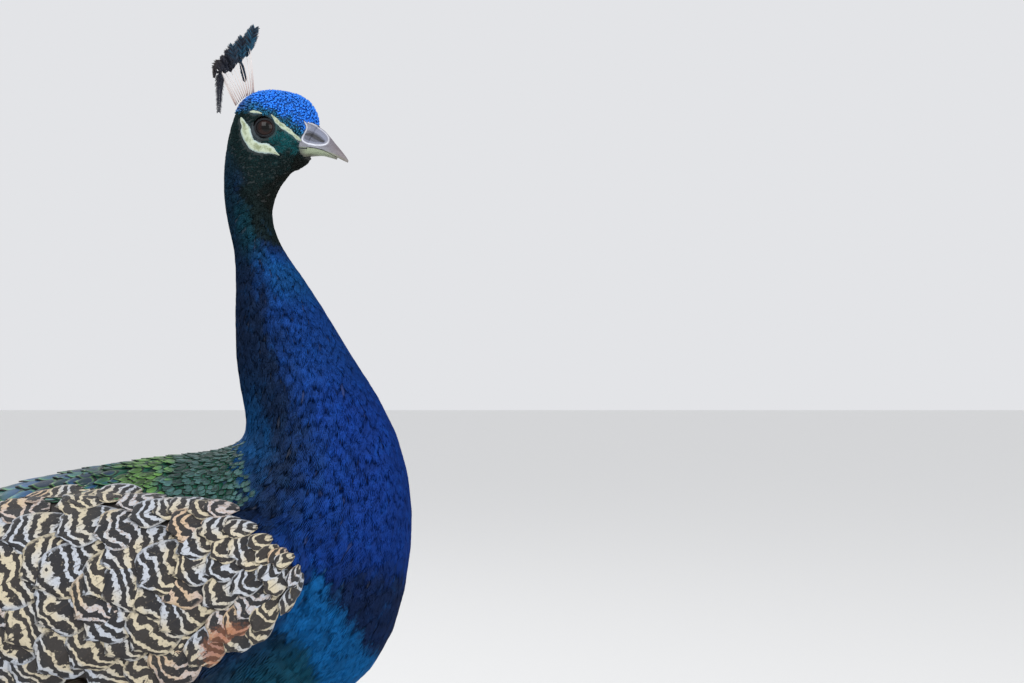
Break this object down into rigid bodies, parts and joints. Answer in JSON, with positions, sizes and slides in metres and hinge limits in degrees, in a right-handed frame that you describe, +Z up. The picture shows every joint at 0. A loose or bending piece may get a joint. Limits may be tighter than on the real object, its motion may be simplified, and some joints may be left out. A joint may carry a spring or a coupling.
{
  "type": "peacock",
  "caption": "Life-size still model of a male Indian peafowl, standing with its neck raised and its folded train trailing on the floor.",
  "frame": {"origin": "on the floor under the middle of the whole outline, bill to train end", "axes": "+X the way the bird faces, +Y to its left, +Z up"},
  "size_m": [1.7196, 0.3432, 0.7474],
  "materials": {
    "crown": "small tight metallic-blue feathers, satin",
    "neck": "iridescent royal-blue plumage, silky",
    "trunk": "dark blue-green plumage, green scales on the back",
    "barred": "cream feathers with narrow wavy black bars, matt",
    "chestnut": "chestnut flight feathers, satin",
    "train": "loose bronze-green feathers with eye spots, iridescent",
    "tail": "plain grey-brown stiff feathers, matt",
    "thigh": "buff-grey and dark soft feathers, matt",
    "leg": "grey-brown scaled skin, matt",
    "claw": "dark horn, slightly worn",
    "bill": "pale lavender-grey horn, slightly worn",
    "eye": "wet dark brown, polished",
    "crest": "bare pale shafts with blue-black tips"
  },
  "bodies": {
    "root": {"head": "crown", "neck_upper": "neck", "neck_middle": "neck", "neck_lower": "neck", "trunk": "trunk", "bill_upper": "bill", "bill_lower": "bill", "crest": "crest", "train_base": "train", "train_middle": "train", "train_end": "train", "tail": "tail", "eye_right": "eye", "wing_right": "barred", "primaries_right": "chestnut", "thigh_right": "thigh", "shank_right": "leg", "spur_right": "claw", "toe_right_inner": "leg", "claw_right_inner": "claw", "toe_right_middle": "leg", "claw_right_middle": "claw", "toe_right_outer": "leg", "claw_right_outer": "claw", "toe_right_hind": "leg", "claw_right_hind": "claw", "eye_left": "eye", "wing_left": "barred", "primaries_left": "chestnut", "thigh_left": "thigh", "shank_left": "leg", "spur_left": "claw", "toe_left_inner": "leg", "claw_left_inner": "claw", "toe_left_middle": "leg", "claw_left_middle": "claw", "toe_left_outer": "leg", "claw_left_outer": "claw", "toe_left_hind": "leg", "claw_left_hind": "claw"}
  },
  "joints": []
}
